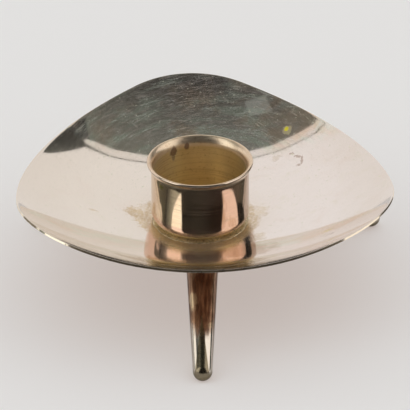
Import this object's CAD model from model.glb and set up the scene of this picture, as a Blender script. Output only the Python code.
import math

import bmesh
import bpy
from mathutils import Matrix, Vector
from mathutils import noise as pattern


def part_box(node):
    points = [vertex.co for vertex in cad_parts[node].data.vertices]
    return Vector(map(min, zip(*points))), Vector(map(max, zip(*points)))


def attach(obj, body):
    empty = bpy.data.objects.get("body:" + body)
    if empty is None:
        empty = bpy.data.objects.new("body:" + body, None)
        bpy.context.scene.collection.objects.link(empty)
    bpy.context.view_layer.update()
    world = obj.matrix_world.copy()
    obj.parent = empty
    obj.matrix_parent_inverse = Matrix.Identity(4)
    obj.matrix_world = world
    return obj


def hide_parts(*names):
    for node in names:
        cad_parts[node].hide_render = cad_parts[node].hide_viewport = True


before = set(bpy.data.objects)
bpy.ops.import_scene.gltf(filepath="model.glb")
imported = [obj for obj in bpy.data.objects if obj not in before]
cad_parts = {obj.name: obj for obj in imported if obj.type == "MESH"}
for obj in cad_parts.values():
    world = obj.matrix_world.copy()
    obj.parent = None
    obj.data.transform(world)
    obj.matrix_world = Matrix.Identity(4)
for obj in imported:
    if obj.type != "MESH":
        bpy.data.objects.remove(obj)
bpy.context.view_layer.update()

MM = 0.001

# Sizes of the holder in the row frame, in metres
DISH_AXIS = Vector((-0.795, 1.21, 0.0)) * MM
DISH_TURN = math.radians(4.41)
DISH_CENTRE_HEIGHT = 14.87 * MM
DISH_RADIUS = 84.0 * MM
DISH_THICKNESS = 0.6 * MM
UNDERSIDE_RADIUS = DISH_RADIUS + DISH_THICKNESS
SPHERE_CENTRE = DISH_AXIS + Vector((0.0, 0.0, DISH_CENTRE_HEIGHT + DISH_RADIUS))
CORNER_REACH = 48.75 * MM
CORNER_RADIUS = 26.75 * MM
SIDE_RADIUS = 65.1 * MM
CORNER_CENTRE = CORNER_REACH - CORNER_RADIUS
ARRIS = 0.10 * MM
RIM_DROOP = math.radians(8.0)
RIM_INSETS = [inset * MM for inset in (0.8, 0.6, 0.42, 0.28, 0.16, 0.07, 0.0)]
OUTLINE_TRIM = 0.9999

CUP_BORE = 11.25 * MM
CUP_WALL = 0.75 * MM
CUP_OUTER = CUP_BORE + CUP_WALL
CUP_HEIGHT = 16.96 * MM
CUP_BOTTOM_RADIUS = 3.4 * MM
CUP_LIP_RADIUS = 2.0 * MM
CUP_LIP_ANGLE = math.radians(54.0)
LIP_EDGE_RADIUS = CUP_WALL / 2
LIP_EDGE_HEIGHT = CUP_HEIGHT - LIP_EDGE_RADIUS
LIP_BEND_HEIGHT = LIP_EDGE_HEIGHT - (CUP_LIP_RADIUS + LIP_EDGE_RADIUS) * math.sin(CUP_LIP_ANGLE)
CUP_SOLDER_REACH = CUP_OUTER - 0.30 * MM
CUP_SOLDER_REACH_WANDER = 0.40 * MM
CUP_SOLDER_RISE = 0.30 * MM
CUP_SOLDER_RISE_WANDER = 0.10 * MM
CUP_SOLDER_BOW_OUT = 0.30 * MM
CUP_SOLDER_BOW_UP = 0.12 * MM

LEG_FOOT_REACH = 48.75 * MM
LEG_ROOT_REACH = 21.0 * MM
LEG_FOOT_RADIUS = 2.345 * MM
LEG_ROOT_RADIUS = 3.95 * MM
FOOT_PAD_RADIUS = 0.8 * MM
LEG_ANGLES = {"front": -90.0, "right": 29.8, "left": 146.0}
LEG_SOLDER_CLIMB = 0.95 * MM
LEG_SOLDER_CLIMB_WANDER = 0.35 * MM
LEG_SOLDER_SPREAD = 0.80 * MM
LEG_SOLDER_SPREAD_WANDER = 0.30 * MM
LEG_SOLDER_BOW = 0.12
LEG_SOLDER_SEEDS = {"front": 11.0, "right": 18.0, "left": 25.0}

cup_low, cup_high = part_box("candle_cup")
CUP_AXIS = Vector(((cup_low.x + cup_high.x) / 2, (cup_low.y + cup_high.y) / 2, 0.0))
CUP_UNDERSIDE = cup_low.z


# Mesh helpers

def face_outward(mesh):
    """Turn the faces of a closed mesh so that they all face out of it."""
    work = bmesh.new()
    work.from_mesh(mesh)
    bmesh.ops.recalc_face_normals(work, faces=work.faces)
    work.to_mesh(mesh)
    work.free()


def new_piece(name, points, faces, normals, material, slot, *nodes):
    """A smooth mesh, with its own vertex normals if given, which stands for some solids of the frame."""
    mesh = bpy.data.meshes.new(name)
    mesh.from_pydata([tuple(point) for point in points], [], faces)
    mesh.validate()
    face_outward(mesh)
    mesh.polygons.foreach_set("use_smooth", [True] * len(mesh.polygons))
    if normals is not None:
        mesh.normals_split_custom_set_from_vertices([tuple(normal) for normal in normals])
    mesh.update()
    piece = bpy.data.objects.new(name, mesh)
    bpy.context.scene.collection.objects.link(piece)
    mesh.materials.append(material)
    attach(piece, "root")
    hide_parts(*nodes)
    return piece


def band_faces(rings, steps):
    """Faces between neighbouring rings of points, each ring closed on itself."""
    faces = []
    for ring in range(rings - 1):
        low = ring * steps
        high = low + steps
        for step in range(steps):
            after = (step + 1) % steps
            faces.append((low + step, low + after, high + after, high + step))
    return faces


def cap_faces(centre, ring_start, steps):
    """A fan of faces from one point to a ring."""
    return [
        (centre, ring_start + step, ring_start + (step + 1) % steps)
        for step in range(steps)
    ]


# Dish

def side_centre():
    """Distance from the dish's axis to the centre of a side arc."""
    spread = SIDE_RADIUS - CORNER_RADIUS
    return (math.sqrt(4 * spread * spread - 3 * CORNER_CENTRE * CORNER_CENTRE) - CORNER_CENTRE) / 2


def outline_reach(angle):
    """Distance from the dish's axis to its outline, in a direction about +Z."""
    third = 2 * math.pi / 3
    local = angle - DISH_TURN - math.pi / 2
    off_corner = (local + third / 2) % third - third / 2
    off_side = off_corner - math.copysign(third / 2, off_corner)
    centre = side_centre()
    handover = math.atan2(
        centre * math.sin(third / 2), CORNER_CENTRE + centre * math.cos(third / 2)
    )
    corner_x = CORNER_CENTRE + CORNER_RADIUS * math.cos(handover)
    corner_y = CORNER_RADIUS * math.sin(handover)
    if abs(off_corner) < math.atan2(corner_y, corner_x):
        along = CORNER_CENTRE * math.cos(off_corner)
        return along + math.sqrt(along * along - CORNER_CENTRE ** 2 + CORNER_RADIUS ** 2)
    along = -centre * math.cos(off_side)
    return along + math.sqrt(along * along - centre * centre + SIDE_RADIUS ** 2)


def outline_facing(angle):
    """The level direction square to the outline at an angle about +Z."""
    step = 1e-4
    reach = outline_reach(angle)
    growth = (outline_reach(angle + step) - outline_reach(angle - step)) / (2 * step)
    facing = angle - math.atan2(growth, reach)
    return Vector((math.cos(facing), math.sin(facing), 0.0))


def section_way(angle, lean):
    """A direction in the half section at an angle: up at a lean of 0, and outward at a right angle."""
    return Vector((math.sin(lean) * math.cos(angle), math.sin(lean) * math.sin(angle), math.cos(lean)))


def make_dish(material, under_material):
    """Spherical sheet dish. Its edge is cut upright, but mirrors as if cut square to the sheet."""
    steps = 480
    top_rings = 96
    under_rings = 60
    arris_steps = 6
    points = []
    normals = []
    angles = [2 * math.pi * step / steps for step in range(steps)]
    reaches = [outline_reach(angle) * OUTLINE_TRIM for angle in angles]
    arris_radius = DISH_RADIUS + ARRIS
    low_arris_radius = UNDERSIDE_RADIUS - ARRIS
    facings = [outline_facing(angle) for angle in angles]
    slopes = [math.asin((reach - ARRIS) / arris_radius) for reach in reaches]
    under_slopes = [math.asin((reach - ARRIS) / low_arris_radius) for reach in reaches]

    def turned_out(angle, slope, outward, turn):
        """The sheet's upward direction, turned towards the outline's outside."""
        upward = section_way(angle, -slope)
        square = (outward - upward * outward.dot(upward)).normalized()
        return upward * math.cos(turn) + square * math.sin(turn)

    def add_top_ring(share, inset, droop):
        for angle, edge_slope, outward in zip(angles, slopes, facings):
            slope = (edge_slope - inset / DISH_RADIUS) * share
            points.append(SPHERE_CENTRE + section_way(angle, math.pi - slope) * DISH_RADIUS)
            normals.append(turned_out(angle, slope, outward, droop))

    def add_arris_ring(edge_slopes, radius, turn, find_lean):
        for angle, slope, outward in zip(angles, edge_slopes, facings):
            middle = SPHERE_CENTRE + section_way(angle, math.pi - slope) * radius
            points.append(middle + section_way(angle, find_lean(slope)) * ARRIS)
            normals.append(turned_out(angle, slope, outward, max(turn, RIM_DROOP)))

    flat_inset = RIM_INSETS[0]
    for index in range(1, top_rings + 1):
        add_top_ring(index / top_rings, flat_inset, 0.0)
    # Near the rim the polished surface leans outward a little
    for inset in RIM_INSETS[1:]:
        add_top_ring(1.0, inset, RIM_DROOP * (1 - inset / flat_inset) ** 2)
    for index in range(1, arris_steps + 1):
        share = index / arris_steps
        turn = math.pi / 2 * share
        add_arris_ring(slopes, arris_radius, turn, lambda slope: turn - slope * (1 - share))
    for index in range(arris_steps + 1):
        share = index / arris_steps
        turn = math.pi / 2 * (1 + share)
        add_arris_ring(under_slopes, low_arris_radius, turn, lambda slope: turn - slope * share)
    under_start = len(points) - steps
    for index in range(under_rings - 1, 0, -1):
        for angle, edge_slope in zip(angles, under_slopes):
            away = section_way(angle, math.pi - edge_slope * index / under_rings)
            points.append(SPHERE_CENTRE + away * UNDERSIDE_RADIUS)
            normals.append(away)
    rings = len(points) // steps
    top_pole = len(points)
    points.append(SPHERE_CENTRE + Vector((0.0, 0.0, -DISH_RADIUS)))
    normals.append(Vector((0.0, 0.0, 1.0)))
    under_pole = len(points)
    points.append(SPHERE_CENTRE + Vector((0.0, 0.0, -UNDERSIDE_RADIUS)))
    normals.append(Vector((0.0, 0.0, -1.0)))
    faces = band_faces(rings, steps)
    faces += cap_faces(top_pole, 0, steps)
    faces += cap_faces(under_pole, (rings - 1) * steps, steps)
    piece = new_piece("dish_shell", points, faces, normals, material, "dish_plate", "dish")
    piece.data.materials.append(under_material)
    for polygon in piece.data.polygons:
        below = min(polygon.vertices) >= under_start and top_pole not in polygon.vertices
        polygon.material_index = 1 if below else 0


# Candle cup

def arc_points(centre, radius, first, last, steps):
    """Points of an arc in a half section, with both its ends."""
    angles = [first + (last - first) * index / steps for index in range(steps + 1)]
    return [
        (centre[0] + radius * math.cos(angle), centre[1] + radius * math.sin(angle))
        for angle in angles
    ]


def straight_points(start, end, steps):
    """Points of a straight line in a half section, without its ends."""
    return [
        (start[0] + (end[0] - start[0]) * index / steps, start[1] + (end[1] - start[1]) * index / steps)
        for index in range(1, steps)
    ]


def cup_section():
    """Half section of the cup, from the middle of its underside round the lip to the middle of its floor."""
    down = -math.pi / 2
    lean = math.pi - CUP_LIP_ANGLE
    bend = (CUP_OUTER - CUP_BOTTOM_RADIUS, CUP_BOTTOM_RADIUS)
    lip = (CUP_OUTER + CUP_LIP_RADIUS, LIP_BEND_HEIGHT)
    edge = (lip[0] + (CUP_LIP_RADIUS + LIP_EDGE_RADIUS) * math.cos(lean), LIP_EDGE_HEIGHT)
    made = straight_points((0.0, 0.0), (bend[0], 0.0), 12)
    made += arc_points(bend, CUP_BOTTOM_RADIUS, down, 0.0, 28)
    made += straight_points((CUP_OUTER, bend[1]), (CUP_OUTER, lip[1]), 24)
    made += arc_points(lip, CUP_LIP_RADIUS, math.pi, lean, 12)
    made += arc_points(edge, LIP_EDGE_RADIUS, -CUP_LIP_ANGLE, lean, 16)[1:]
    made += arc_points(lip, CUP_LIP_RADIUS + CUP_WALL, lean, math.pi, 12)[1:]
    made += straight_points((CUP_BORE, lip[1]), (CUP_BORE, bend[1]), 24)
    made += arc_points(bend, CUP_BOTTOM_RADIUS - CUP_WALL, 0.0, down, 14)
    made += straight_points((bend[0], CUP_WALL), (0.0, CUP_WALL), 12)
    return made


def make_cup(material):
    steps = 256
    section = cup_section()
    base = CUP_AXIS + Vector((0.0, 0.0, CUP_UNDERSIDE))
    points = []
    for reach, height in section:
        for step in range(steps):
            angle = 2 * math.pi * step / steps
            way = Vector((math.cos(angle), math.sin(angle), 0.0))
            points.append(base + way * reach + Vector((0.0, 0.0, height)))
    faces = band_faces(len(section), steps)
    below = len(points)
    points.append(base)
    above = len(points)
    points.append(base + Vector((0.0, 0.0, CUP_WALL)))
    faces += cap_faces(below, 0, steps)
    faces += cap_faces(above, (len(section) - 1) * steps, steps)
    new_piece("cup_shell", points, faces, None, material, "cup_plate", "candle_cup")


# Solder

def on_dish(place, lift=0.0):
    """The point of the dish's top surface at a place in plan, or a lift above it."""
    off = Vector((place.x - DISH_AXIS.x, place.y - DISH_AXIS.y))
    height = SPHERE_CENTRE.z - math.sqrt(DISH_RADIUS ** 2 - off.length_squared)
    return Vector((place.x, place.y, height + lift))


def wander(angle, seed, rate):
    """Smooth random value from -1 to 1 that closes on itself round a circle."""
    place = Vector((math.cos(angle) * rate, math.sin(angle) * rate, seed))
    return pattern.noise(place) + 0.5 * pattern.noise(place * 2.7)


def bowed_line(start, middle, end, steps):
    """Points of a curve from start to end that bows towards a middle."""
    made = []
    for index in range(steps + 1):
        share = index / steps
        made.append(start * (1 - share) ** 2 + middle * (2 * share * (1 - share)) + end * share ** 2)
    return made


def make_ring(name, sections, material, *nodes):
    """A closed ring of solder through like closed sections."""
    size = len(sections[0])
    points = [point for loop in sections for point in loop]
    faces = []
    for index in range(len(sections)):
        here = index * size
        there = (index + 1) % len(sections) * size
        for step in range(size):
            after = (step + 1) % size
            faces.append((here + step, there + step, there + after, here + after))
    new_piece(name, points, faces, None, material, "solder", *nodes)


def make_cup_solder(material):
    """Solder round the cup's foot, a hollow fillet with a wandering edge."""
    steps = 240
    bow_steps = 8
    bend_steps = 3
    bend = CUP_BOTTOM_RADIUS
    inner = CUP_OUTER - bend

    def on_bend(way, lift):
        """How far out the bend at the cup's bottom is, and its point, at a lift above the underside."""
        reach = inner + math.sqrt(max(bend ** 2 - (bend - lift) ** 2, 0.0))
        return reach, CUP_AXIS + way * reach + Vector((0.0, 0.0, CUP_UNDERSIDE + lift))

    sections = []
    for step in range(steps):
        angle = 2 * math.pi * step / steps
        way = Vector((math.cos(angle), math.sin(angle), 0.0))
        reach = CUP_SOLDER_REACH + CUP_SOLDER_REACH_WANDER * wander(angle, seed=3.0, rate=3.0)
        rise = CUP_SOLDER_RISE + CUP_SOLDER_RISE_WANDER * wander(angle, seed=9.0, rate=4.0)
        outer = on_dish(CUP_AXIS + way * reach)
        bend_reach, upper = on_bend(way, rise)
        corner = on_dish(CUP_AXIS + way * (bend_reach + CUP_SOLDER_BOW_OUT), CUP_SOLDER_BOW_UP)
        loop = [on_dish(CUP_AXIS + way * inner)]
        loop += bowed_line(outer, corner, upper, bow_steps)
        for index in range(1, bend_steps + 1):
            loop.append(on_bend(way, rise * (1 - index / bend_steps))[1])
        sections.append(loop)
    make_ring("cup_solder_fillet", sections, material, "cup_solder")


# Legs

FOOT_HEIGHT = math.sqrt(LEG_FOOT_RADIUS ** 2 - FOOT_PAD_RADIUS ** 2)
ROOT_HEIGHT = SPHERE_CENTRE.z - math.sqrt(UNDERSIDE_RADIUS ** 2 - LEG_ROOT_REACH ** 2)


class Leg:
    """Where a leg runs, and the frame about its axis."""

    def __init__(self, side):
        angle = math.radians(LEG_ANGLES[side])
        out = Vector((math.cos(angle), math.sin(angle), 0.0))
        self.foot = DISH_AXIS + out * LEG_FOOT_REACH + Vector((0.0, 0.0, FOOT_HEIGHT))
        self.root = DISH_AXIS + out * LEG_ROOT_REACH + Vector((0.0, 0.0, ROOT_HEIGHT))
        self.length = (self.root - self.foot).length
        self.along = (self.root - self.foot).normalized()
        self.across = Vector((-out.y, out.x, 0.0))
        self.upper = self.along.cross(self.across)
        self.taper = math.atan2(LEG_ROOT_RADIUS - LEG_FOOT_RADIUS, self.length)

    def way(self, angle):
        return self.across * math.cos(angle) + self.upper * math.sin(angle)

    def surface(self, angle, distance):
        """A point of the taper, at a distance along its side from where the round foot begins."""
        way = self.way(angle)
        square = way * math.cos(self.taper) - self.along * math.sin(self.taper)
        start = self.foot + square * LEG_FOOT_RADIUS
        side = self.along * math.cos(self.taper) + way * math.sin(self.taper)
        return start + side * distance, square

    def root_distance(self, angle):
        """How far up its side the taper meets the dish's underside."""
        halvings = 48
        low, high = 0.0, self.length * 2
        for _ in range(halvings):
            middle = (low + high) / 2
            point, _square = self.surface(angle, middle)
            if (point - SPHERE_CENTRE).length > UNDERSIDE_RADIUS:
                low = middle
            else:
                high = middle
        return low


def make_leg(side, material):
    leg = Leg(side)
    steps = 128
    rings = 48
    foot_rings = 20
    points = []
    normals = []
    angles = [2 * math.pi * step / steps for step in range(steps)]
    ends = [leg.root_distance(angle) for angle in angles]
    for ring in range(rings + 1):
        for angle, end in zip(angles, ends):
            point, square = leg.surface(angle, end * (1 - ring / rings))
            points.append(point)
            normals.append(square)
    for ring in range(1, foot_rings):
        turn = leg.taper + (math.pi / 2 - leg.taper) * ring / foot_rings
        for angle in angles:
            square = leg.way(angle) * math.cos(turn) - leg.along * math.sin(turn)
            points.append(leg.foot + square * LEG_FOOT_RADIUS)
            normals.append(square)
    top = len(points)
    points.append(leg.root.copy())
    normals.append(leg.along)
    tip = len(points)
    points.append(leg.foot - leg.along * LEG_FOOT_RADIUS)
    normals.append(-leg.along)
    for index, point in enumerate(points):
        if point.z < 0.0:
            point.z = 0.0
            normals[index] = Vector((0.0, 0.0, -1.0))
    ring_count = rings + foot_rings
    faces = band_faces(ring_count, steps)
    faces += cap_faces(top, 0, steps)
    faces += cap_faces(tip, (ring_count - 1) * steps, steps)
    new_piece(f"leg_{side}_rod", points, faces, normals, material, "leg_plate", f"leg_{side}")


def make_leg_solder(side, material):
    """Solder round a leg's root, a hollow fillet with a wandering edge."""
    leg = Leg(side)
    seed = LEG_SOLDER_SEEDS[side]
    steps = 96
    bow_steps = 7
    sections = []
    for step in range(steps):
        angle = 2 * math.pi * step / steps
        end = leg.root_distance(angle)
        corner, square = leg.surface(angle, end)
        climb = LEG_SOLDER_CLIMB + LEG_SOLDER_CLIMB_WANDER * wander(angle, seed, rate=1.6)
        spread = LEG_SOLDER_SPREAD + LEG_SOLDER_SPREAD_WANDER * wander(angle, seed + 5.0, rate=2.2)
        upper, _square = leg.surface(angle, end - climb)
        away = (corner - SPHERE_CENTRE).normalized()
        outward = (square - away * square.dot(away)).normalized()
        outer_way = (corner + outward * spread - SPHERE_CENTRE).normalized()
        outer = SPHERE_CENTRE + outer_way * UNDERSIDE_RADIUS
        bow = corner + (upper + outer - corner * 2) * LEG_SOLDER_BOW
        sections.append([corner] + bowed_line(outer, bow, upper, bow_steps))
    make_ring(f"leg_{side}_fillet", sections, material, f"leg_{side}_solder")


# Material helpers

class Paint:
    """Builds one node material step by step. Lengths are in metres and patterns lie in the row frame."""

    def __init__(self, name):
        self.material = bpy.data.materials.new(name)
        self.material.use_nodes = True
        self.tree = self.material.node_tree
        self.tree.nodes.clear()
        self.shader = self.add("ShaderNodeBsdfPrincipled")
        output = self.add("ShaderNodeOutputMaterial")
        self.tree.links.new(self.shader.outputs["BSDF"], output.inputs["Surface"])
        self.place = self.add("ShaderNodeTexCoord").outputs["Object"]

    def add(self, kind, **settings):
        node = self.tree.nodes.new(kind)
        for name, value in settings.items():
            setattr(node, name, value)
        return node

    def put(self, socket, value):
        if isinstance(value, bpy.types.NodeSocket):
            self.tree.links.new(value, socket)
        elif isinstance(value, (tuple, list)) and socket.type == "RGBA" and len(value) == 3:
            socket.default_value = (*value, 1.0)
        else:
            socket.default_value = value

    def math(self, operation, first, second=0.0, third=0.0):
        node = self.add("ShaderNodeMath", operation=operation)
        for socket, value in zip(node.inputs, (first, second, third)):
            self.put(socket, value)
        return node.outputs[0]

    def moved(self, place, move=(0, 0, 0), turn=(0, 0, 0), scale=(1, 1, 1)):
        node = self.add("ShaderNodeMapping", vector_type="POINT")
        self.put(node.inputs["Vector"], place)
        node.inputs["Location"].default_value = move
        node.inputs["Rotation"].default_value = turn
        node.inputs["Scale"].default_value = scale
        return node.outputs[0]

    def length(self, place):
        node = self.add("ShaderNodeVectorMath", operation="LENGTH")
        self.put(node.inputs[0], place)
        return node.outputs["Value"]

    def noise(self, place, scale, detail=3.0, rough=0.55, warp=0.0):
        node = self.add("ShaderNodeTexNoise")
        self.put(node.inputs["Vector"], place)
        node.inputs["Scale"].default_value = scale
        node.inputs["Detail"].default_value = detail
        node.inputs["Roughness"].default_value = rough
        node.inputs["Distortion"].default_value = warp
        return node.outputs[0]

    def remap(self, value, low, high, to_low=0.0, to_high=1.0):
        node = self.add("ShaderNodeMapRange", interpolation_type="SMOOTHSTEP")
        self.put(node.inputs["Value"], value)
        node.inputs["From Min"].default_value = low
        node.inputs["From Max"].default_value = high
        node.inputs["To Min"].default_value = to_low
        node.inputs["To Max"].default_value = to_high
        return node.outputs[0]

    def between(self, value, low, high, soft):
        """1 between two values, falling to 0 over a soft margin outside them."""
        rising = self.remap(value, low - soft, low)
        falling = self.remap(value, high + soft, high)
        return self.math("MULTIPLY", rising, falling)

    def times(self, *masks):
        result = masks[0]
        for mask in masks[1:]:
            result = self.math("MULTIPLY", result, mask)
        return result

    def most(self, *masks):
        result = masks[0]
        for mask in masks[1:]:
            result = self.math("MAXIMUM", result, mask)
        return result

    def mix(self, share, first, second):
        node = self.add("ShaderNodeMix", data_type="RGBA")
        self.put(node.inputs[0], share)
        self.put(node.inputs[6], first)
        self.put(node.inputs[7], second)
        return node.outputs[2]

    def blend(self, share, first, second):
        """A number part of the way from one value to another."""
        node = self.add("ShaderNodeMix", data_type="FLOAT")
        self.put(node.inputs[0], share)
        self.put(node.inputs[2], first)
        self.put(node.inputs[3], second)
        return node.outputs[0]

    def axes(self, place):
        node = self.add("ShaderNodeSeparateXYZ")
        self.put(node.inputs[0], place)
        return node.outputs

    def scratches(self, turn, stretch, fine, low, high, seed):
        """Hairlines in one direction: noise that is long one way and very short across."""
        lines = self.moved(self.place, (seed, seed * 0.7, 0), (0, 0, math.radians(turn)))
        lines = self.moved(lines, scale=(stretch, fine, stretch))
        return self.remap(self.noise(lines, 1.0, 2.0, 0.6), low, high)

    def arcs(self, centre, along, fine, low, high, seed):
        """Hairlines that run round a point of the plan: noise that is long round it and short outward."""
        centred = self.moved(self.place, (-centre[0] * MM, -centre[1] * MM, 0), scale=(1, 1, 0))
        way = self.add("ShaderNodeVectorMath", operation="NORMALIZE")
        self.put(way.inputs[0], centred)
        spread = self.moved(way.outputs[0], (seed, seed * 0.7, 0), scale=(along, along, 0))
        outward = self.add("ShaderNodeCombineXYZ")
        self.put(outward.inputs["Z"], self.math("MULTIPLY", self.length(centred), fine))
        place = self.add("ShaderNodeVectorMath", operation="ADD")
        self.put(place.inputs[0], spread)
        self.put(place.inputs[1], outward.outputs[0])
        return self.remap(self.noise(place.outputs[0], 1.0, 2.0, 0.6), low, high)

    def spot(self, centre, radii, turn=0.0, ragged=0.5, seed=0.0, grain=500.0):
        """A ragged stain, 1 inside and 0 outside. A radius of 0 makes it endless that way."""
        centred = self.moved(self.place, tuple(-value * MM for value in centre))
        turned = self.moved(centred, turn=(0, 0, math.radians(-turn)))
        scale = tuple(1 / (radius * MM) if radius else 0.0 for radius in radii)
        off_centre = self.length(self.moved(turned, scale=scale))
        rough = self.noise(self.moved(self.place, (seed, seed, seed)), grain, 3.0, 0.6)
        edge = self.math("MULTIPLY_ADD", rough, ragged * 2.0, -ragged)
        return self.remap(self.math("ADD", off_centre, edge), 1.0, 0.55)

    def bump(self, height, depth, normal=None):
        node = self.add("ShaderNodeBump")
        node.inputs["Distance"].default_value = depth
        self.put(node.inputs["Height"], height)
        if normal is not None:
            self.put(node.inputs["Normal"], normal)
        return node.outputs[0]

    def finish(self, colour, roughness, metallic, normal):
        self.put(self.shader.inputs["Base Color"], colour)
        self.put(self.shader.inputs["Roughness"], roughness)
        self.put(self.shader.inputs["Metallic"], metallic)
        self.put(self.shader.inputs["Normal"], normal)
        return self.material


# Materials

# Where the paint of the dish changes: in plan, off an axis, or off the middle of the dish's sphere
BACK_TARNISH = (24 * MM, 30 * MM)
CORNER_WEAR = (34 * MM, 50 * MM)
CUP_RING_STAIN = (16.8 * MM, 15.0 * MM)
CUP_HALO_STAIN = (25 * MM, 18 * MM)
EDGE_OFF_MIDDLE = (DISH_RADIUS + 0.012 * MM, DISH_RADIUS + 0.05 * MM)
LOW_ARRIS_OFF_MIDDLE = (DISH_RADIUS + 0.44 * MM, DISH_RADIUS + 0.54 * MM)
CLEAN_EDGE_LEFT = (-38.4 * MM, -32.4 * MM)
CLEAN_EDGE_RIGHT = (34.4 * MM, 42.6 * MM)
CLEAN_EDGE_SOFT = 1.2 * MM
CLEAN_SIDE = (-18.2 * MM, -16.8 * MM)
CLEAN_SIDE_LEAN = -0.0955
WORN_ARRIS = (0.0, -20 * MM)


def dish_paint():
    """Worn silver plate: fine hairlines, cloudy tarnish, tan stains by the cup, a dull brown edge."""
    p = Paint("worn_silver_plate")
    x, y, _z = p.axes(p.place)
    cloud = p.noise(p.place, 45.0, 4.0, 0.6, 0.3)
    patch = p.noise(p.moved(p.place, (0.31, 0.12, 0.0)), 90.0, 4.0, 0.62, 0.5)
    fine_cloud = p.noise(p.place, 260.0, 3.0, 0.6)
    grit = p.noise(p.moved(p.place, (0.2, 0.6, 0.0)), 1500.0, 3.0, 0.7)

    # Yellower to the left, paler to the right
    across = p.math("MULTIPLY_ADD", cloud, 30 * MM, x)
    plate = p.mix(p.remap(across, -25 * MM, 45 * MM), (0.875, 0.805, 0.725), (0.915, 0.850, 0.815))
    plate = p.mix(p.remap(patch, 0.48, 0.74, 0.0, 0.5), plate, (0.86, 0.745, 0.67))
    plate = p.mix(p.remap(fine_cloud, 0.52, 0.74, 0.0, 0.35), plate, (0.83, 0.775, 0.65))

    # The corners are duller than the middle
    off_axis = p.length(p.moved(p.place, tuple(-DISH_AXIS), scale=(1, 1, 0)))
    corner = p.remap(p.math("MULTIPLY_ADD", cloud, 12 * MM, off_axis), *CORNER_WEAR)
    plate = p.mix(p.times(corner, 0.40), plate, (0.77, 0.69, 0.61))

    # The back is mottled green and brown and streaked by wiping
    back = p.remap(y, *BACK_TARNISH)
    streak = p.times(back, p.arcs((3, 10), 3.2, 430.0, 0.40, 0.66, 0.3))
    brown = p.times(back, p.remap(patch, 0.46, 0.66))
    plate = p.mix(p.times(streak, 0.55), plate, (0.74, 0.86, 0.72))
    plate = p.mix(p.times(brown, 0.55), plate, (0.84, 0.62, 0.46))

    hair = p.most(
        p.arcs((3, 10), 9.0, 3600.0, 0.52, 0.68, 0.11),
        p.arcs((9, 1), 13.0, 4400.0, 0.55, 0.70, 0.37),
        p.arcs((-4, 15), 12.0, 5000.0, 0.55, 0.70, 0.53),
        p.scratches(-59, 95.0, 4000.0, 0.62, 0.74, 0.71),
        p.scratches(38, 150.0, 5000.0, 0.63, 0.76, 0.93),
    )
    fleck = p.remap(p.noise(p.moved(p.place, (0.5, 0.2, 0.1)), 1300.0, 2.0, 0.5), 0.68, 0.74)

    # Tan tarnish that gathers round the cup and on its left
    off_cup = p.length(p.moved(p.place, tuple(-CUP_AXIS), scale=(1, 1, 0)))
    close_ring = p.remap(p.math("MULTIPLY_ADD", fine_cloud, 3 * MM, off_cup), *CUP_RING_STAIN)
    halo = p.remap(p.math("MULTIPLY_ADD", patch, 9 * MM, off_cup), *CUP_HALO_STAIN)
    left_patch = p.most(
        p.spot((-16.6, 3.0, 0), (4.4, 3.0, 0), -40, 0.8, 0.2, 700.0),
        p.spot((-14.4, -0.6, 0), (3.4, 4.8, 0), 10, 0.8, 0.6, 700.0),
        p.times(p.spot((-14.2, 6.6, 0), (2.6, 2.6, 0), 0, 0.9, 1.7, 700.0), 0.45),
    )
    thin = p.most(
        p.times(p.spot((13.4, 4.4, 0), (2.6, 3.4, 0), 0, 0.9, 1.4, 500.0), 0.45),
        p.times(p.spot((12.6, -8.6, 0), (2.4, 3.2, 0), 0, 0.9, 3.4, 500.0), 0.45),
        p.times(p.spot((-27.5, 0.1, 0), (1.5, 0.6, 0), 0, 0.8, 2.1, 900.0), 0.5),
        p.times(p.spot((17.7, 24.0, 0), (1.8, 1.1, 0), 15, 0.95, 2.6, 900.0), 0.30),
    )
    broken = p.remap(grit, 0.34, 0.62, 0.5, 1.0)
    gathered = p.most(p.times(close_ring, 0.85), p.times(halo, 0.12), p.times(left_patch, 0.9), thin)
    stain = p.times(gathered, broken)
    tan = p.mix(p.remap(fine_cloud, 0.3, 0.7), (0.56, 0.39, 0.19), (0.78, 0.60, 0.36))
    plate = p.mix(p.times(stain, 0.9), plate, tan)

    # A brown film in front of the cup, towards the right
    film = p.spot((9.5, -17.5, 0), (9.0, 6.0, 0), 0, 0.5, 7.0, 300.0)
    plate = p.mix(p.times(film, 0.70), plate, (0.58, 0.44, 0.33))

    # Small brown marks at the back right
    mark = p.most(
        p.spot((21.5, 24.3, 0), (0.7, 0.50, 0), -10, 1.2, 3.3, 1800.0),
        p.spot((22.9, 22.9, 0), (1.2, 0.42, 0), -35, 1.2, 4.4, 1800.0),
        p.spot((24.0, 21.2, 0), (0.40, 1.5, 0), -6, 1.0, 3.9, 1800.0),
        p.spot((23.3, 19.8, 0), (0.8, 0.50, 0), 20, 1.2, 4.1, 1800.0),
    )
    plate = p.mix(p.times(mark, 0.5), plate, (0.34, 0.20, 0.12))

    # A yellow droplet of old wax
    wax = p.spot((20.4, 32.4, 0), (0.75, 0.85, 0), 0, 0.3, 5.0, 800.0)
    smear = p.times(p.spot((20.6, 32.0, 0), (1.5, 1.7, 0), 0, 0.5, 5.6, 800.0), 0.35)
    wax = p.most(wax, smear)
    plate = p.mix(wax, plate, (0.72, 0.64, 0.06))
    plate = p.mix(p.times(fleck, 0.6), plate, (0.82, 0.82, 0.60))

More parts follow.
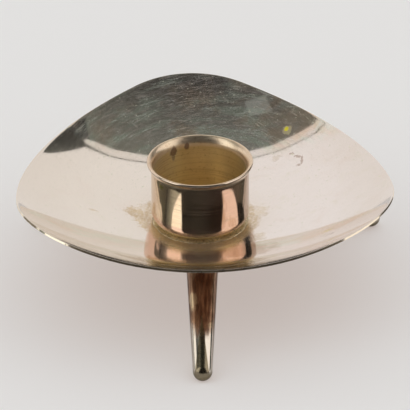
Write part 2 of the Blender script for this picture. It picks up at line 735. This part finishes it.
    # The sheet's edge is bright at the sides and beside the two front corners, and dull brown elsewhere
    off_middle = p.length(p.moved(p.place, tuple(-SPHERE_CENTRE)))
    edge = p.remap(off_middle, *EDGE_OFF_MIDDLE)
    aside = p.math("MULTIPLY_ADD", fine_cloud, 2 * MM, x)
    side = p.remap(p.math("MULTIPLY_ADD", x, CLEAN_SIDE_LEAN, y), *CLEAN_SIDE)
    clean_left = p.between(aside, *CLEAN_EDGE_LEFT, CLEAN_EDGE_SOFT)
    clean_right = p.between(aside, *CLEAN_EDGE_RIGHT, CLEAN_EDGE_SOFT)
    low_arris = p.remap(off_middle, *LOW_ARRIS_OFF_MIDDLE)
    worn = p.times(low_arris, p.remap(grit, 0.42, 0.58), p.remap(y, *WORN_ARRIS))
    clean = p.most(clean_left, clean_right, side, p.times(worn, 0.8))
    dull = p.times(edge, p.blend(clean, 0.92, 0.0))
    plate = p.mix(p.times(edge, clean), plate, (0.95, 0.85, 0.68))
    plate = p.mix(dull, plate, p.mix(fine_cloud, (0.060, 0.044, 0.022), (0.24, 0.18, 0.10)))

    roughness = p.remap(fine_cloud, 0.3, 0.7, 0.035, 0.065)
    roughness = p.math("MULTIPLY_ADD", hair, 0.03, roughness)
    roughness = p.math("MULTIPLY_ADD", p.most(stain, fleck), 0.16, roughness)
    roughness = p.math("MULTIPLY_ADD", dull, 0.25, roughness)
    metallic = p.remap(patch, 0.3, 0.7, 0.985, 0.955)
    metallic = p.math("MULTIPLY_ADD", back, -0.02, metallic)
    metallic = p.math("MULTIPLY_ADD", p.times(hair, p.blend(back, 0.03, 0.16)), -1.0, metallic)
    metallic = p.math("MULTIPLY_ADD", streak, -0.07, metallic)
    metallic = p.math("MULTIPLY_ADD", p.times(back, p.remap(grit, 0.45, 0.65)), -0.05, metallic)
    metallic = p.math("MULTIPLY_ADD", fleck, -0.22, metallic)
    metallic = p.math("MULTIPLY_ADD", stain, -0.22, metallic)
    metallic = p.math("MULTIPLY_ADD", mark, -0.35, metallic)
    metallic = p.math("MULTIPLY_ADD", dull, -0.25, metallic)
    metallic = p.times(metallic, p.math("SUBTRACT", 1.0, wax))
    swell = p.bump(p.noise(p.place, 38.0, 1.0, 0.4), 0.00002)
    return p.finish(plate, roughness, metallic, p.bump(p.times(grit, stain), 0.00005, swell))


def underside_paint():
    """Plate that is never polished: dark red-brown tarnish with a few thin places."""
    p = Paint("tarnished_underside")
    cloud = p.noise(p.place, 60.0, 5.0, 0.6, 0.4)
    thin = p.noise(p.moved(p.place, (0.4, 0.1, 0.3)), 170.0, 4.0, 0.6)
    colour = p.mix(p.remap(cloud, 0.35, 0.7), (0.170, 0.082, 0.045), (0.33, 0.185, 0.105))
    colour = p.mix(p.remap(thin, 0.60, 0.76, 0.0, 0.7), colour, (0.58, 0.42, 0.27))
    roughness = p.remap(p.noise(p.place, 300.0), 0.3, 0.7, 0.18, 0.34)
    return p.finish(colour, roughness, 0.88, p.bump(cloud, 0.00003))


# Where the paint of the cup changes: off its axis, up from its underside, or off the middle of the lip's bend
CUP_INSIDE = (CUP_OUTER - 0.1 * MM, CUP_BORE + 0.2 * MM)
CUP_FLARE = (14.6 * MM, 15.5 * MM)
MOUTH_UPPER_SIDE = (CUP_LIP_RADIUS + 0.40 * MM, CUP_LIP_RADIUS + 0.62 * MM)
MOUTH_START = (14.2 * MM, 15.2 * MM)
WARM_RIGHT = (-1 * MM, 5 * MM)
DARK_RIGHT = (9.0 * MM, 10.4 * MM)
DARK_LEFT = (-9.8 * MM, -11.2 * MM)
PINK_FOOT = (4.3 * MM, 3.8 * MM)
PINK_FOOT_SIDE = (1 * MM, -2 * MM)
CUP_FOOT_STAIN = (0.7 * MM, -0.5 * MM)
MOUTH_SIDES = (7 * MM, 12 * MM)
INNER_LEFT = (-3 * MM, -8 * MM)
INNER_RIGHT = (6 * MM, 10 * MM)


def cup_paint():
    """Warm worn plate with fine lines round the cup, a golden mouth, and olive gold inside with two drips."""
    p = Paint("warm_plate_cup")
    centred = p.moved(p.place, tuple(-CUP_AXIS - Vector((0.0, 0.0, CUP_UNDERSIDE))))
    x, _y, z = p.axes(centred)
    radius = p.length(p.moved(centred, scale=(1, 1, 0)))
    inside = p.remap(radius, *CUP_INSIDE)
    flare = p.remap(z, *CUP_FLARE)

    # The upper side of the flare lies farther from the middle of its bend than its underside
    lip_out = p.math("SUBTRACT", radius, CUP_OUTER + CUP_LIP_RADIUS)
    lip_up = p.math("SUBTRACT", z, LIP_BEND_HEIGHT)
    off_bend = p.math("SQRT", p.math("MULTIPLY_ADD", lip_out, lip_out, p.math("MULTIPLY", lip_up, lip_up)))
    upper_side = p.remap(off_bend, *MOUTH_UPPER_SIDE)
    mouth = p.times(upper_side, p.remap(z, *MOUTH_START))

    lines = p.noise(p.moved(centred, scale=(38, 38, 4300)), 1.0, 2.0, 0.6)
    broad = p.noise(p.moved(centred, (0.2, 0.5, 0.0), scale=(60, 60, 1500)), 1.0, 3.0, 0.65)
    turned = p.noise(p.moved(centred, (0.4, 0.1, 0.0), scale=(45, 45, 2600)), 1.0, 3.0, 0.7)
    cloud = p.noise(p.place, 140.0, 4.0, 0.6, 0.2)
    grit = p.noise(p.place, 1500.0, 3.0, 0.7)

    outer = p.mix(p.remap(cloud, 0.4, 0.7), (0.97, 0.80, 0.59), (0.91, 0.715, 0.52))
    outer = p.mix(p.remap(x, *WARM_RIGHT, 0.0, 0.9), outer, (0.83, 0.56, 0.415))
    outer = p.mix(p.remap(x, *DARK_RIGHT, 0.0, 0.88), outer, (0.46, 0.35, 0.265))
    outer = p.mix(p.remap(x, *DARK_LEFT, 0.0, 0.5), outer, (0.60, 0.46, 0.36))
    outer = p.mix(p.remap(broad, 0.50, 0.72, 0.0, 0.36), outer, (0.60, 0.46, 0.32))
    outer = p.mix(p.remap(lines, 0.54, 0.70, 0.0, 0.26), outer, (0.55, 0.42, 0.30))
    low_left = p.times(p.remap(z, *PINK_FOOT), p.remap(x, *PINK_FOOT_SIDE))
    outer = p.mix(p.times(low_left, 0.8), outer, (0.84, 0.58, 0.47))
    foot = p.remap(p.math("MULTIPLY_ADD", cloud, -2.0 * MM, z), *CUP_FOOT_STAIN)
    outer = p.mix(p.times(foot, 0.6), outer, (0.46, 0.33, 0.17))
    green = p.spot((-10.7, -6.2, 29.2), (0.9, 0.9, 0.7), 0, 0.5, 1.2, 900.0)
    outer = p.mix(p.times(green, 0.7), outer, (0.55, 0.52, 0.12))
    outer = p.mix(flare, outer, p.mix(cloud, (0.92, 0.78, 0.64), (0.84, 0.66, 0.52)))

    gold = p.mix(p.remap(cloud, 0.3, 0.7), (0.96, 0.82, 0.61), (0.88, 0.70, 0.50))
    gold = p.mix(p.remap(p.math("ABSOLUTE", x), *MOUTH_SIDES, 0.0, 0.6), gold, (0.74, 0.56, 0.42))
    gold = p.mix(p.remap(grit, 0.52, 0.68, 0.0, 0.45), gold, (0.60, 0.42, 0.25))
    outer = p.mix(mouth, outer, gold)

    inner = p.mix(p.remap(cloud, 0.3, 0.7), (0.87, 0.71, 0.42), (0.77, 0.60, 0.33))
    inner = p.mix(p.remap(x, *INNER_LEFT, 0.0, 0.8), inner, (0.98, 0.86, 0.57))
    inner = p.mix(p.remap(x, *INNER_RIGHT, 0.0, 0.7), inner, (0.66, 0.55, 0.29))
    inner = p.mix(p.remap(turned, 0.46, 0.66, 0.0, 0.55), inner, (0.56, 0.41, 0.21))
    inner = p.mix(p.remap(grit, 0.56, 0.70, 0.0, 0.5), inner, (0.46, 0.33, 0.16))
    inner = p.mix(mouth, inner, gold)
    drips = p.most(
        p.spot((CUP_AXIS.x / MM - 6.5, 10.5, 29.6), (0.95, 4.0, 1.7), 0, 0.5, 0.3, 900.0),
        p.times(p.spot((CUP_AXIS.x / MM - 6.5, 10.5, 28.2), (0.45, 4.0, 1.3), 0, 0.5, 0.5, 900.0), 0.7),
        p.spot((CUP_AXIS.x / MM - 3.2, 12.0, 30.3), (0.75, 4.0, 1.3), 0, 0.4, 0.8, 900.0),
    )
    inner = p.mix(p.times(drips, 0.85), inner, (0.15, 0.070, 0.034))

    colour = p.mix(inside, outer, inner)
    below_flare = p.math("SUBTRACT", 1.0, flare)
    deep = p.times(inside, below_flare)
    roughness = p.remap(lines, 0.3, 0.7, 0.04, 0.095)
    roughness = p.math("MULTIPLY_ADD", deep, 0.24, roughness)
    roughness = p.math("MULTIPLY_ADD", mouth, 0.24, roughness)
    metallic = p.remap(lines, 0.48, 0.70, 0.998, 0.965)
    metallic = p.math("MULTIPLY_ADD", deep, -0.20, metallic)
    metallic = p.math("MULTIPLY_ADD", mouth, -0.08, metallic)
    metallic = p.math("MULTIPLY_ADD", p.times(drips, inside), -0.4, metallic)
    grooves = p.bump(lines, 0.0000018)
    return p.finish(colour, roughness, metallic, p.bump(p.times(turned, inside), 0.000016, grooves))


# Where the paint of a leg changes, up from the table, and the middle line of the front leg
LEG_TARNISH = (9.6 * MM, 12.2 * MM)
FOOT_TIP_DIRT = (5.0 * MM, 3.6 * MM)
FRONT_WEDGE = (12.2 * MM, 11.0 * MM)
FRONT_WEDGE_SLOPE = 5.0
FRONT_LEG_MIDDLE = -0.95 * MM


def leg_paint():
    """Plate that goes from polished at the foot to dark red-brown tarnish under the dish."""
    p = Paint("tarnished_leg")
    cloud = p.noise(p.place, 120.0, 4.0, 0.6, 0.3)
    patch = p.noise(p.moved(p.place, (0.3, 0.5, 0.1)), 260.0, 4.0, 0.65)
    grain = p.noise(p.place, 1300.0, 3.0, 0.6)
    x, _y, z = p.axes(p.place)
    height = p.math("MULTIPLY_ADD", cloud, 4 * MM, z)
    up = p.remap(height, *LEG_TARNISH)
    tarnish = p.mix(p.remap(patch, 0.40, 0.66), (0.24, 0.120, 0.066), (0.38, 0.215, 0.125))
    tan = p.most(
        p.spot((-3.1, -32.6, 12.9), (1.6, 3.0, 2.2), 0, 0.8, 0.4, 500.0),
        p.times(p.spot((-2.9, -26.0, 16.4), (0.8, 2.2, 1.6), 0, 0.9, 1.1, 700.0), 0.6),
        p.times(p.spot((1.3, -38.4, 9.4), (1.4, 1.1, 0.8), 0, 0.9, 2.3, 700.0), 0.7),
    )
    run = p.noise(p.moved(p.place, (0.1, 0.3, 0.6), scale=(1500, 200, 200)), 1.0, 3.0, 0.6)
    tarnish = p.mix(p.remap(run, 0.46, 0.68, 0.0, 0.7), tarnish, (0.60, 0.37, 0.22))
    tarnish = p.mix(p.remap(run, 0.46, 0.34, 0.0, 0.6), tarnish, (0.15, 0.075, 0.04))
    tarnish = p.mix(p.times(tan, 0.85), tarnish, (0.66, 0.50, 0.31))
    colour = p.mix(up, (0.85, 0.77, 0.66), tarnish)
    tip = p.remap(height, *FOOT_TIP_DIRT)
    off_middle = p.math("ABSOLUTE", p.math("SUBTRACT", x, FRONT_LEG_MIDDLE))
    wedge = p.remap(p.math("MULTIPLY_ADD", off_middle, FRONT_WEDGE_SLOPE, z), *FRONT_WEDGE)
    dirt = p.most(p.times(tip, 0.92), p.times(wedge, 0.85))
    colour = p.mix(dirt, colour, p.mix(grain, (0.12, 0.095, 0.050), (0.32, 0.255, 0.135)))
    roughness = p.remap(grain, 0.3, 0.7, 0.06, 0.13)
    roughness = p.math("MULTIPLY_ADD", up, 0.12, roughness)
    roughness = p.math("MULTIPLY_ADD", dirt, 0.16, roughness)
    metallic = p.math("MULTIPLY_ADD", up, -0.12, 0.97)
    wave = p.bump(p.noise(p.moved(p.place, (0.7, 0.2, 0.4)), 95.0, 1.0, 0.4), 0.00011)
    return p.finish(colour, roughness, metallic, p.bump(grain, 0.000004, wave))


def solder_paint():
    """Pale tan solder, speckled with brown and black tarnish."""
    p = Paint("tarnished_solder")
    grain = p.noise(p.place, 1500.0, 4.0, 0.7)
    cloud = p.noise(p.place, 420.0, 3.0, 0.6)
    colour = p.mix(p.remap(cloud, 0.36, 0.66), (0.90, 0.75, 0.48), (0.68, 0.53, 0.30))
    colour = p.mix(p.remap(grain, 0.50, 0.68, 0.0, 0.85), colour, (0.16, 0.11, 0.055))
    roughness = p.remap(grain, 0.3, 0.7, 0.22, 0.5)
    return p.finish(colour, roughness, 0.60, p.bump(grain, 0.00009))


dish_plate = dish_paint()
underside = underside_paint()
cup_plate = cup_paint()
leg_plate = leg_paint()
solder = solder_paint()

make_dish(dish_plate, underside)
make_cup(cup_plate)
make_cup_solder(solder)
for side in LEG_ANGLES:
    make_leg(side, leg_plate)
    make_leg_solder(side, solder)


# Studio

STAGE_AWAY = 3.0
WINDOW_AWAY = 3.6
SKIRT_AWAY = 3.3
GAP_AWAY = 7.5
FLOOR_REACH = 7.0
FLOOR_LIFT = 0.40


def emission(tree, colour, strength):
    shader = tree.nodes.new("ShaderNodeEmission")
    shader.inputs["Color"].default_value = (*colour, 1.0)
    shader.inputs["Strength"].default_value = strength
    return shader.outputs[0]


def pick(tree, share, first, second):
    """One of two shaders, or a mixture of them."""
    mixed = tree.nodes.new("ShaderNodeMixShader")
    if isinstance(share, float):
        mixed.inputs[0].default_value = share
    else:
        tree.links.new(share, mixed.inputs[0])
    tree.links.new(first, mixed.inputs[1])
    tree.links.new(second, mixed.inputs[2])
    return mixed.outputs[0]


def bare_material(name):
    material = bpy.data.materials.new(name)
    material.use_nodes = True
    material.node_tree.nodes.clear()
    return material, material.node_tree


def close_material(material, shader):
    output = material.node_tree.nodes.new("ShaderNodeOutputMaterial")
    material.node_tree.links.new(shader, output.inputs["Surface"])
    return material


def glow(name, colour, strength=1.0):
    material, tree = bare_material(name)
    return close_material(material, emission(tree, colour, strength))


def floor_paper():
    """Pale matt paper, whose shadows look lighter and warmer to the camera."""
    material, tree = bare_material("floor_paper")

    def matt(colour):
        shader = tree.nodes.new("ShaderNodeBsdfDiffuse")
        shader.inputs["Color"].default_value = (*colour, 1.0)
        return shader.outputs[0]

    rays = tree.nodes.new("ShaderNodeLightPath")
    lift = emission(tree, (1.0, 0.80, 0.712), 1.0)
    lifted = pick(tree, FLOOR_LIFT, matt((0.747, 0.910, 0.970)), lift)
    plain = matt((0.80, 0.80, 0.81))
    return close_material(material, pick(tree, rays.outputs["Is Camera Ray"], plain, lifted))


def fading_glow(name, colour, strength, full, dark, least=0.0):
    """Light of the stage that fades from one azimuth to another, in degrees as for seen_at."""
    material, tree = bare_material(name)
    split = tree.nodes.new("ShaderNodeSeparateXYZ")
    tree.links.new(tree.nodes.new("ShaderNodeTexCoord").outputs["Object"], split.inputs[0])
    ahead = tree.nodes.new("ShaderNodeMath")
    ahead.operation = "MULTIPLY"
    ahead.inputs[1].default_value = -1.0
    tree.links.new(split.outputs["Y"], ahead.inputs[0])
    azimuth = tree.nodes.new("ShaderNodeMath")
    azimuth.operation = "ARCTAN2"
    tree.links.new(split.outputs["X"], azimuth.inputs[0])
    tree.links.new(ahead.outputs[0], azimuth.inputs[1])
    fade = tree.nodes.new("ShaderNodeMapRange")
    fade.inputs["From Min"].default_value = math.radians(dark)
    fade.inputs["From Max"].default_value = math.radians(full)
    fade.inputs["To Min"].default_value = least
    fade.inputs["To Max"].default_value = strength
    tree.links.new(azimuth.outputs[0], fade.inputs["Value"])
    light = emission(tree, colour, strength)
    tree.links.new(fade.outputs[0], light.node.inputs["Strength"])
    return close_material(material, light)


def panel(name, corners, material, lit=True):
    """A flat sheet of the stage that the camera doesn't see itself."""
    mesh = bpy.data.meshes.new(name)
    mesh.from_pydata([tuple(corner) for corner in corners], [], [tuple(range(len(corners)))])
    mesh.update()
    mesh.materials.append(material)
    made = bpy.data.objects.new(name, mesh)
    bpy.context.scene.collection.objects.link(made)
    made.visible_camera = False
    made.visible_diffuse = lit
    made.visible_shadow = False
    return made


def dome_panel(name, corners, material, away=STAGE_AWAY, lit=True):
    """A panel whose corners are given as for seen_at."""
    panel(name, [seen_at(*corner, away) for corner in corners], material, lit)


def seen_at(azimuth, elevation, away):
    """A point of the stage. Azimuth is from the camera's side, positive to the right, in degrees."""
    a = math.radians(azimuth)
    e = math.radians(elevation)
    way = Vector((math.sin(a) * math.cos(e), -math.cos(a) * math.cos(e), math.sin(e)))
    return way * away


def behind(across, height):
    """A point of the wall behind the holder, per unit of its distance."""
    return Vector((across, 1.0, height)) * STAGE_AWAY


def on_left(along, height):
    """A point of the wall on the left, per unit of its distance."""
    return Vector((-1.0, along, height)) * STAGE_AWAY


PAPER_OUTLINE = [
    (-1.5, 0.0), (0.77, 0.0), (0.79, 0.90), (0.89, 1.50), (0.70, 1.53), (0.44, 1.68),
    (-0.46, 1.86), (-0.70, 1.86), (-1.15, 1.93), (-1.29, 2.05), (-2.2, 2.40),
]
TUBE_OUTLINE = [
    (0.94, 1.59), (1.01, 1.66), (1.02, 1.75), (0.96, 1.80), (0.76, 1.81), (0.66, 1.89),
    (0.50, 1.96), (-0.49, 2.18), (-0.74, 2.18), (-0.89, 2.25), (-1.37, 2.385), (-1.46, 2.46),
    (-1.58, 2.66), (-1.75, 2.78), (-2.2, 2.90), (-2.2, 2.43), (-1.27, 2.08), (-1.14, 1.965),
    (-0.69, 1.89), (-0.46, 1.89), (0.45, 1.715), (0.70, 1.57),
]
WALL_LEFT = [(0.45, 0.0), (0.45, 0.62), (0.12, 0.62), (0.12, 0.0)]
GAP = [(145, 0), (112, 0), (112, 56), (145, 47)]
WINDOW = [(-108, 77.5), (-99.5, 72), (-118, 68.7), (-128, 74)]
SOFTBOX_LEFT = [
    (-49, 4), (-49, 30), (-51, 55), (-54, 63), (-57, 68), (-60, 68), (-70, 64), (-78, 59), (-81, 55),
    (-83, 51), (-85, 30), (-88, 4),
]
SKIRT_LEFT = [(-56, 4), (-56, 67), (-93, 66.5), (-104, 64), (-105, 50), (-103, 30), (-99, 4)]
LOW_LEFT = [(-88, 12), (-88, 24), (-112, 28), (-118, 25), (-124, 16), (-126, 5), (-118, 5)]
SOFTBOX_RIGHT = [
    (54, 4), (54, 30), (60, 53), (64, 57), (67, 61), (68, 65), (67, 67.5), (95, 65), (102, 63), (108, 58),
    (111, 54), (112, 47), (114, 38), (119, 21), (122, 14), (97, 14), (90, 4),
]

floor_corners = [
    (-FLOOR_REACH, -FLOOR_REACH, 0), (FLOOR_REACH, -FLOOR_REACH, 0),
    (FLOOR_REACH, FLOOR_REACH, 0), (-FLOOR_REACH, FLOOR_REACH, 0),
]
floor = panel("floor", floor_corners, floor_paper())
floor.visible_camera = True
floor.visible_shadow = True

paper = glow("backdrop_paper", (0.84, 0.81, 0.785))
panel("backdrop", [behind(*corner) for corner in PAPER_OUTLINE], paper)
tube = glow("backdrop_tube", (0.76, 0.72, 0.68))
panel("backdrop_tube", [behind(*corner) for corner in TUBE_OUTLINE], tube)
wall = glow("side_paper", (0.76, 0.74, 0.72))
panel("wall_left", [on_left(*corner) for corner in WALL_LEFT], wall)

gap = fading_glow("dark_gap", (1.0, 1.03, 0.91), 0.126, 145.0, 131.0, 0.016)
dome_panel("gap", GAP, gap, GAP_AWAY, False)
window = glow("far_window", (0.175, 0.193, 0.178))
dome_panel("window", WINDOW, window, WINDOW_AWAY, False)
dome_panel("softbox_left", SOFTBOX_LEFT, glow("softbox_left", (1.0, 0.98, 0.95), 1.30))
skirt = fading_glow("skirt_left", (0.94, 1.0, 0.94), 0.42, -78.0, -104.0)
dome_panel("skirt_left", SKIRT_LEFT, skirt, SKIRT_AWAY, False)
dome_panel("low_left", LOW_LEFT, glow("low_left", (1.0, 0.98, 0.94), 1.05))
dome_panel("softbox_right", SOFTBOX_RIGHT, glow("softbox_right", (1.0, 0.95, 0.92), 1.05))

# Where the dim front of the room passes into its lighter back, as the y of a direction
ROOM_CHANGE = (-0.15, 0.40)


def make_world():
    """A dim room in the metal, lighter at the back, and an even soft fill on matt surfaces."""
    world = bpy.data.worlds.new("studio")
    world.use_nodes = True
    tree = world.node_tree
    tree.nodes.clear()
    rays = tree.nodes.new("ShaderNodeLightPath")
    split = tree.nodes.new("ShaderNodeSeparateXYZ")
    tree.links.new(tree.nodes.new("ShaderNodeTexCoord").outputs["Generated"], split.inputs[0])
    backward = tree.nodes.new("ShaderNodeMapRange")
    backward.inputs["From Min"].default_value = ROOM_CHANGE[0]
    backward.inputs["From Max"].default_value = ROOM_CHANGE[1]
    tree.links.new(split.outputs["Y"], backward.inputs["Value"])

    def background(colour):
        shader = tree.nodes.new("ShaderNodeBackground")
        shader.inputs["Color"].default_value = (*colour, 1.0)
        return shader.outputs[0]

    front_room = background((0.010, 0.0095, 0.009))
    back_room = background((0.130, 0.136, 0.115))
    room = pick(tree, backward.outputs[0], front_room, back_room)
    fill = background((0.66, 0.66, 0.67))
    shown = pick(tree, rays.outputs["Is Diffuse Ray"], room, fill)
    output = tree.nodes.new("ShaderNodeOutputWorld")
    tree.links.new(shown, output.inputs["Surface"])
    bpy.context.scene.world = world


make_world()


# Camera

CAMERA_ELEVATION = math.radians(29.891)
CAMERA_ROLL = math.radians(-0.254)
CAMERA_AIM = Vector((-0.057, 1.21, 19.856)) * MM
CAMERA_AWAY = 1.225
SENSOR_WIDTH = 36.0
PICTURE_PIXELS = 410.0
FOCAL_PIXELS = 5000.0


def make_camera():
    """The photograph's viewpoint: a long lens, about 30 degrees down, with a very small roll."""
    forward = Vector((0.0, math.cos(CAMERA_ELEVATION), -math.sin(CAMERA_ELEVATION)))
    right = Vector((1.0, 0.0, 0.0))
    up = Vector((0.0, math.sin(CAMERA_ELEVATION), math.cos(CAMERA_ELEVATION)))
    rolled_right = right * math.cos(CAMERA_ROLL) + up * math.sin(CAMERA_ROLL)
    rolled_up = up * math.cos(CAMERA_ROLL) - right * math.sin(CAMERA_ROLL)
    data = bpy.data.cameras.new("camera")
    data.sensor_width = SENSOR_WIDTH
    data.lens = SENSOR_WIDTH * FOCAL_PIXELS / PICTURE_PIXELS
    camera = bpy.data.objects.new("camera", data)
    turn = Matrix((rolled_right, rolled_up, -forward)).transposed()
    camera.matrix_world = Matrix.Translation(CAMERA_AIM - forward * CAMERA_AWAY) @ turn.to_4x4()
    bpy.context.scene.collection.objects.link(camera)
    bpy.context.scene.camera = camera


make_camera()
bpy.context.scene.view_settings.view_transform = "Standard"
